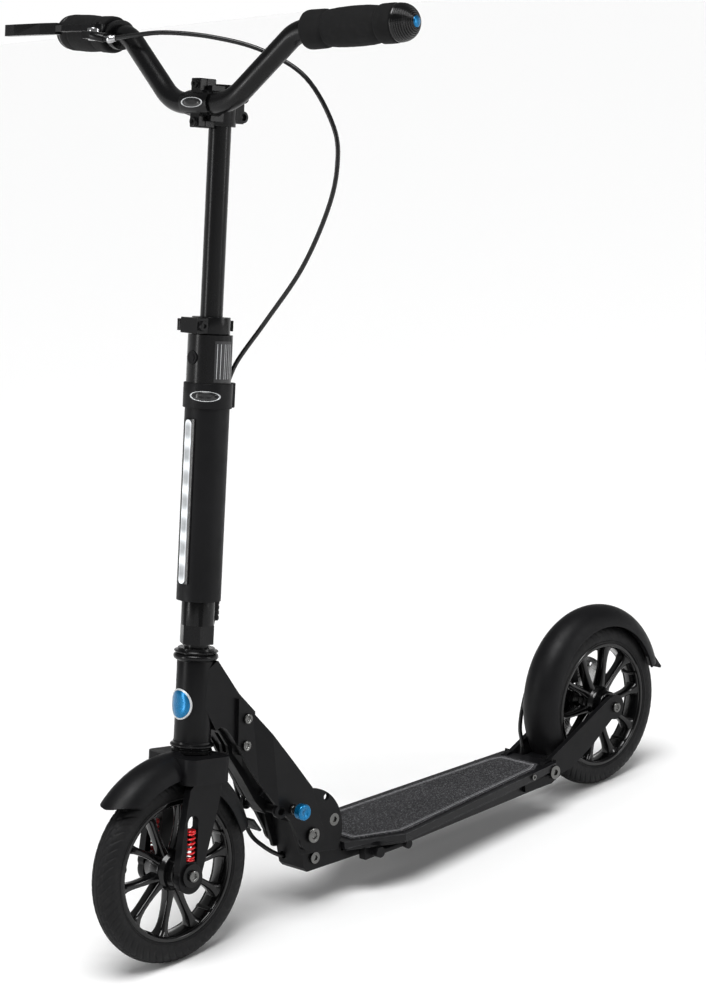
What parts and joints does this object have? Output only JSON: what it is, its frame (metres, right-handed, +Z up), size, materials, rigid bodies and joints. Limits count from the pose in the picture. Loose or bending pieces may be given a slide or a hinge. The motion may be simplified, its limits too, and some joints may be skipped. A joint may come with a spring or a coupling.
{
  "type": "kick scooter",
  "caption": "Adult folding kick scooter with large wheels, fork springs, rear disc brake with hand lever, light strip in the column and height-adjustable T-bar.",
  "frame": {"origin": "centre of the deck's top surface", "axes": "+X forward, +Y to the rider's left, +Z up, square to the deck"},
  "size_m": [0.8957, 0.5871, 0.9771],
  "materials": {
    "black_paint": "satin powder coat",
    "black_anodised": "black anodised",
    "steel": "zinc plated",
    "bare_alu": "machined",
    "grip_paper": "coarse grit",
    "black_plastic": "fine grain",
    "gloss_black": "gloss",
    "tyre": "moulded rubber",
    "rubber": "matt",
    "grip_foam": "foam",
    "cable": "satin sheath",
    "blue_anodised": "blue anodised",
    "red_spring": "gloss paint",
    "led_lens": "diffusing",
    "led_board": "circuit board"
  },
  "bodies": {
    "deck": {"deck_frame": "black_paint", "grip_tape": "grip_paper", "nose_block": "black_paint", "cheek_left": "black_paint", "cheek_right": "black_paint", "pivot_bolt": "steel", "frame_bolts": "steel", "rear_yoke": "black_paint", "rear_fender": "black_plastic", "cable_rear": "cable", "kick_bracket": "black_paint", "kick_spring": "steel"},
    "kickstand": {"kick_leg": "black_paint"},
    "swing_fork": {"swing_arm_left": "black_paint", "swing_arm_right": "black_paint", "rear_axle": "steel", "caliper": "black_paint"},
    "rear_wheel": {"rear_rim": "gloss_black", "rear_tyre": "tyre", "rear_bearings": "steel", "rotor": "steel"},
    "caliper_lever": {"caliper_arm": "black_paint"},
    "folding_arm": {"head_frame": "black_paint", "arm_left": "black_paint", "arm_right": "black_paint", "arm_bolts": "steel", "headset_cups": "black_anodised", "cable_lower": "cable"},
    "knob": {"lock_knob": "blue_anodised"},
    "release_lever": {"fold_lever": "black_paint"},
    "column": {"steerer": "black_anodised", "lock_nut": "black_anodised", "light_housing": "black_plastic", "led_lens": "led_lens", "led_board": "led_board", "column_tube": "black_anodised", "collar": "black_plastic", "height_clamp": "black_anodised", "fork": "black_paint", "crown_cover": "black_plastic", "front_fender": "black_plastic", "fork_springs": "red_spring"},
    "button": {"push_button": "black_plastic"},
    "quick_release": {"clamp_lever": "black_anodised"},
    "front_slider": {"sliders": "bare_alu", "front_axle": "steel"},
    "front_wheel": {"front_rim": "gloss_black", "front_tyre": "tyre", "front_bearings": "steel"},
    "t_bar": {"t_tube": "black_anodised", "stem": "black_anodised", "faceplate": "black_anodised", "handlebar": "black_anodised", "grip_left": "grip_foam", "grip_right": "grip_foam", "bar_plugs": "rubber", "brake_bracket": "black_anodised", "cable_upper": "cable"},
    "brake_hand_lever": {"brake_lever": "black_anodised"}
  },
  "joints": [
    {"name": "fold", "type": "hinge", "parent": "deck", "child": "folding_arm", "pos_m": [0.209, 0, 0.024], "axis": [0, -1, 0], "range_deg": [0, 76], "deforming": ["cable_lower"]},
    {"name": "lock_pull", "type": "slide", "parent": "folding_arm", "child": "knob", "axis": [0, 1, 0], "range_m": [0, 0.006], "stiffness_N_per_m": 400, "springref_m": -0.004},
    {"name": "release", "type": "hinge", "parent": "folding_arm", "child": "release_lever", "pos_m": [0.25, 0, 0.063], "axis": [0, 1, 0], "range_deg": [0, 3], "stiffness_Nm_per_rad": 2, "springref_deg": -5.73},
    {"name": "steer", "type": "hinge", "parent": "folding_arm", "child": "column", "pos_m": [0.362, 0, 0.034], "axis": [-0.1719, 0, 0.9851], "range_deg": [-40, 40], "deforming": ["cable_lower"]},
    {"name": "front_suspension", "type": "slide", "parent": "column", "child": "front_slider", "axis": [-0.1719, 0, 0.9851], "range_m": [0, 0.01], "stiffness_N_per_m": 9000, "springref_m": -0.015, "deforming": ["fork_springs"]},
    {"name": "front_wheel_spin", "type": "hinge", "parent": "front_slider", "child": "front_wheel", "pos_m": [0.385, 0, 0.034], "axis": [0, 1, 0], "continuous": true},
    {"name": "bar_height", "type": "slide", "parent": "column", "child": "t_bar", "axis": [0.1719, 0, -0.9851], "range_m": [0, 0.18], "deforming": ["cable_upper"]},
    {"name": "button_press", "type": "slide", "parent": "column", "child": "button", "axis": [-0.9851, 0, -0.1719], "range_m": [0, 0.002], "stiffness_N_per_m": 500, "springref_m": -0.002},
    {"name": "quick_release", "type": "hinge", "parent": "column", "child": "quick_release", "pos_m": [0.28735, -0.0186, 0.59553], "axis": [-0.1719, 0, 0.9851], "range_deg": [0, 110]},
    {"name": "brake_squeeze", "type": "hinge", "parent": "t_bar", "child": "brake_hand_lever", "pos_m": [0.25645, -0.152, 0.89467], "axis": [0.1719, 0, -0.9851], "range_deg": [0, 10], "stiffness_Nm_per_rad": 1.5, "springref_deg": -8.59, "deforming": ["cable_upper"]},
    {"name": "rear_suspension", "type": "hinge", "parent": "deck", "child": "swing_fork", "pos_m": [-0.17, 0, -0.011], "axis": [0, 1, 0], "range_deg": [0, 4], "stiffness_Nm_per_rad": 220, "springref_deg": -4.58, "deforming": ["cable_rear"]},
    {"name": "rear_wheel_spin", "type": "hinge", "parent": "swing_fork", "child": "rear_wheel", "pos_m": [-0.296, 0, 0.034], "axis": [0, 1, 0], "continuous": true},
    {"name": "caliper_pull", "type": "hinge", "parent": "swing_fork", "child": "caliper_lever", "pos_m": [-0.271, -0.0365, 0.076], "axis": [0, -1, 0], "range_deg": [0, 20], "deforming": ["cable_rear"]},
    {"name": "kickstand_swing", "type": "hinge", "parent": "deck", "child": "kickstand", "pos_m": [0.126, 0.0454, -0.018], "axis": [0, -1, 0], "range_deg": [0, 88], "stiffness_Nm_per_rad": 0.08, "springref_deg": -34.38, "deforming": ["kick_spring"]}
  ],
  "couplings": [
    {"joint": "caliper_pull", "follows": "brake_squeeze", "ratio": 2}
  ]
}
